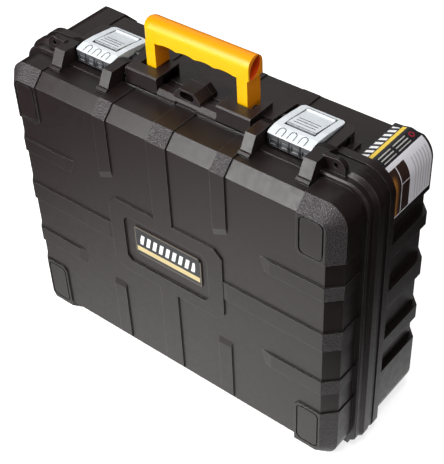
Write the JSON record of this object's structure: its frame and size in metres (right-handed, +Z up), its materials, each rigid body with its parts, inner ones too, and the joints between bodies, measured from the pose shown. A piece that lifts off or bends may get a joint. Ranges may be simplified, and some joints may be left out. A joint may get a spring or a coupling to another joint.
{
  "type": "hard tool case",
  "caption": "Upright hard plastic tool case with ribbed shells, two lever latches, a bottom hinge and a carrying handle that folds back on the base.",
  "frame": {"origin": "on the ground under the middle of the case, halfway across its width and depth", "axes": "+Z up, +X towards the end with the corner label, -Y towards the lid face"},
  "size_m": [0.451, 0.1696, 0.427],
  "materials": {
    "shell": "fine grained charcoal polypropylene, stippled where ribs and pads cross the bevels",
    "latch": "silver grey moulded plastic",
    "handle": "satin yellow orange moulded plastic",
    "badge": "black plate with a plain cream stripe",
    "label": "printed film with plain colour fields",
    "board": "fine grained black sheet",
    "spring": "drawn spring wire",
    "pin": "ground steel rod"
  },
  "bodies": {
    "base": {"base_shell": "shell", "hinge_pin_left": "pin", "hinge_pin_right": "pin", "strike_bar_left": "pin", "strike_bar_right": "pin", "handle_pin_left": "pin", "handle_pin_right": "pin", "corner_label": "label"},
    "lid": {"lid_shell": "shell", "lever_pin_left": "pin", "lever_pin_right": "pin", "badge_plate": "badge", "tool_board": "board", "board_stud_1": "pin", "board_stud_2": "pin", "board_stud_3": "pin", "board_stud_4": "pin"},
    "latch_left": {"latch_lever_left": "latch", "hook_pin_left": "pin", "hook_spring_left": "spring"},
    "hook_left": {"latch_hook_left": "latch"},
    "latch_right": {"latch_lever_right": "latch", "hook_pin_right": "pin", "hook_spring_right": "spring"},
    "hook_right": {"latch_hook_right": "latch"},
    "handle": {"handle": "handle"}
  },
  "joints": [
    {"name": "lid_hinge", "type": "hinge", "parent": "base", "child": "lid", "pos_m": [0, -0.015, 0.0045], "axis": [1, 0, 0], "range_deg": [0, 100]},
    {"name": "latch_left_pivot", "type": "hinge", "parent": "lid", "child": "latch_left", "pos_m": [-0.1253, -0.03, 0.3645], "axis": [1, 0, 0], "range_deg": [0, 105]},
    {"name": "latch_right_pivot", "type": "hinge", "parent": "lid", "child": "latch_right", "pos_m": [0.1253, -0.03, 0.3645], "axis": [1, 0, 0], "range_deg": [0, 105]},
    {"name": "hook_left_pivot", "type": "hinge", "parent": "latch_left", "child": "hook_left", "pos_m": [-0.1253, -0.0135, 0.3672], "axis": [1, 0, 0], "range_deg": [0, 18], "stiffness_Nm_per_rad": 0.05, "springref_deg": -22.92},
    {"name": "hook_right_pivot", "type": "hinge", "parent": "latch_right", "child": "hook_right", "pos_m": [0.1253, -0.0135, 0.3672], "axis": [1, 0, 0], "range_deg": [0, 18], "stiffness_Nm_per_rad": 0.05, "springref_deg": -22.92},
    {"name": "handle_tilt", "type": "hinge", "parent": "base", "child": "handle", "pos_m": [0, -0.0087, 0.3645], "axis": [-1, 0, 0], "range_deg": [0, 88]}
  ]
}
